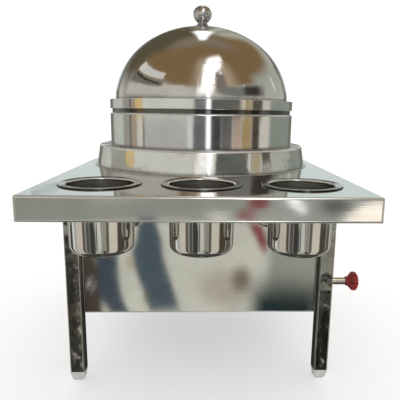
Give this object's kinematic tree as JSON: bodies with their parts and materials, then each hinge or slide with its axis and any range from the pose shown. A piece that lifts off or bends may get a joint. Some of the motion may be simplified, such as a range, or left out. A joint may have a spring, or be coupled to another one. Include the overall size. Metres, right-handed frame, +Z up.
{
  "type": "sweet corn machine",
  "caption": "Stainless gas steamer for sweet corn: a legged table with hung serving bowls, a round steam drum under a domed lid, and a burner in a panelled housing.",
  "frame": {"origin": "on the floor under the middle of the table top", "axes": "+X to the operator's right, the side of the gas valve; +Y to the back, away from the bowls; +Z up"},
  "size_m": [0.5126, 0.6096, 0.6535],
  "materials": {
    "polished_steel": "stainless sheet, buffed to a soft mirror",
    "foot_plastic": "white moulded plug, slightly worn",
    "knob_plastic": "red moulded plastic, glossy",
    "brass": "turned, dull",
    "cast_iron": "as cast, heat darkened",
    "pipe_aluminium": "drawn tube, satin",
    "bright_plate": "nickel plate over turned steel",
    "plated_steel": "zinc plated"
  },
  "bodies": {
    "base": {"bar_bolts": "plated_steel", "bar_nuts": "plated_steel", "boiler_pan": "polished_steel", "bonnet_lock_nuts": "bright_plate", "burner_bar_front": "plated_steel", "burner_bar_rear": "plated_steel", "burner_bowl": "cast_iron", "collar_ring": "polished_steel", "foot_front_left": "foot_plastic", "foot_front_right": "foot_plastic", "foot_rear_left": "foot_plastic", "foot_rear_right": "foot_plastic", "front_panel": "polished_steel", "gas_jet": "brass", "gas_pipe": "pipe_aluminium", "gland_nut": "bright_plate", "hose_spigot": "brass", "jet_holder": "brass", "left_panel": "polished_steel", "leg_front_left": "polished_steel", "leg_front_right": "polished_steel", "leg_rear_left": "polished_steel", "leg_rear_right": "polished_steel", "mixing_tube": "cast_iron", "rail_front": "polished_steel", "rail_left": "polished_steel", "rail_rear": "polished_steel", "rail_right": "polished_steel", "rear_panel": "polished_steel", "right_panel": "polished_steel", "table_top": "polished_steel", "valve_body": "brass", "valve_bonnet": "bright_plate"},
    "drum": {"steam_drum": "polished_steel"},
    "tray": {"corn_tray": "polished_steel"},
    "lid": {"lid_dome": "polished_steel", "lid_band": "polished_steel", "lid_knob": "polished_steel", "lid_washer": "plated_steel", "lid_screw": "plated_steel"},
    "bowl_left": {"bowl_left": "polished_steel"},
    "bowl_middle": {"bowl_middle": "polished_steel"},
    "bowl_right": {"bowl_right": "polished_steel"},
    "burner_cap": {"burner_cap": "cast_iron"},
    "valve_handle": {"valve_spindle": "bright_plate", "valve_knob": "knob_plastic", "valve_knob_screw": "plated_steel"}
  },
  "joints": [
    {"name": "drum_lift", "type": "slide", "parent": "base", "child": "drum", "axis": [0, 0, 1], "range_m": [0, 0.12]},
    {"name": "tray_lift", "type": "slide", "parent": "drum", "child": "tray", "axis": [0, 0, 1], "range_m": [0, 0.08]},
    {"name": "lid_lift", "type": "slide", "parent": "drum", "child": "lid", "axis": [0, 0, 1], "range_m": [0, 0.2]},
    {"name": "bowl_left_lift", "type": "slide", "parent": "base", "child": "bowl_left", "axis": [0, 0, 1], "range_m": [0, 0.12]},
    {"name": "bowl_middle_lift", "type": "slide", "parent": "base", "child": "bowl_middle", "axis": [0, 0, 1], "range_m": [0, 0.12]},
    {"name": "bowl_right_lift", "type": "slide", "parent": "base", "child": "bowl_right", "axis": [0, 0, 1], "range_m": [0, 0.12]},
    {"name": "burner_cap_lift", "type": "slide", "parent": "base", "child": "burner_cap", "axis": [0, 0, 1], "range_m": [0, 0.03]},
    {"name": "valve_turn", "type": "hinge", "parent": "base", "child": "valve_handle", "pos_m": [0.23, -0.0698, 0.1564], "axis": [1, 0, 0], "range_deg": [0, 540]}
  ]
}
